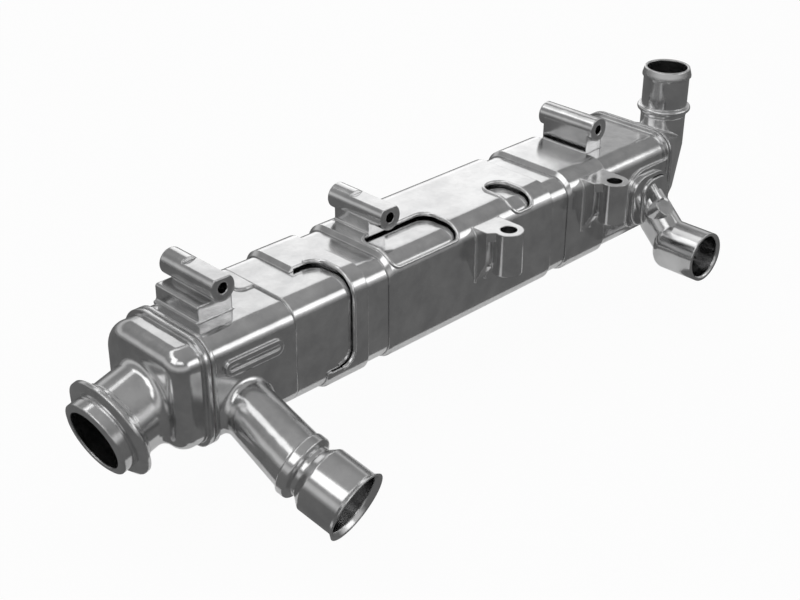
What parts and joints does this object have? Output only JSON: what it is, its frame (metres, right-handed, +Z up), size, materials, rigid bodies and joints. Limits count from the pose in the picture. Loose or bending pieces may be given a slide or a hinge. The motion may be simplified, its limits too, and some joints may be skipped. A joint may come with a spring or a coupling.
{
  "type": "egr cooler",
  "caption": "Cast stainless exhaust gas recirculation cooler: box-section core with jacket bands and bracket bosses, a clamp-flange gas inlet, an upright gas outlet pipe and coolant ports",
  "frame": {"origin": "on the bore axis of the middle bracket boss, halfway along the bore", "axes": "+X from the gas inlet to the gas outlet along the box, +Y along the bracket boss bores to the far side, +Z up along the upright boss bores"},
  "size_m": [0.7818, 0.2427, 0.1925],
  "materials": {
    "cast_steel": "cast and satin polished",
    "band_steel": "satin polished",
    "shell_steel": "satin, drawn along X",
    "formed_steel": "bright turned",
    "inner_steel": "plain mill finish"
  },
  "bodies": {
    "root": {"gas_inlet_cap": "cast_steel", "front_housing": "cast_steel", "coolant_inlet_connector": "formed_steel", "core_shell": "shell_steel", "front_band": "band_steel", "middle_band": "band_steel", "rear_band": "band_steel", "rear_housing": "cast_steel", "coolant_outlet_elbow": "cast_steel", "gas_outlet_cap": "cast_steel", "hose_pipe": "formed_steel", "front_header_plate": "inner_steel", "rear_header_plate": "inner_steel", "gas_tube_1": "inner_steel", "gas_tube_2": "inner_steel", "gas_tube_3": "inner_steel", "gas_tube_4": "inner_steel", "gas_tube_5": "inner_steel", "gas_tube_6": "inner_steel", "gas_tube_7": "inner_steel", "fin_1": "inner_steel", "fin_2": "inner_steel", "fin_3": "inner_steel", "fin_4": "inner_steel", "fin_5": "inner_steel", "fin_6": "inner_steel", "fin_7": "inner_steel", "baffle_1": "inner_steel", "baffle_2": "inner_steel", "baffle_3": "inner_steel"}
  },
  "joints": []
}
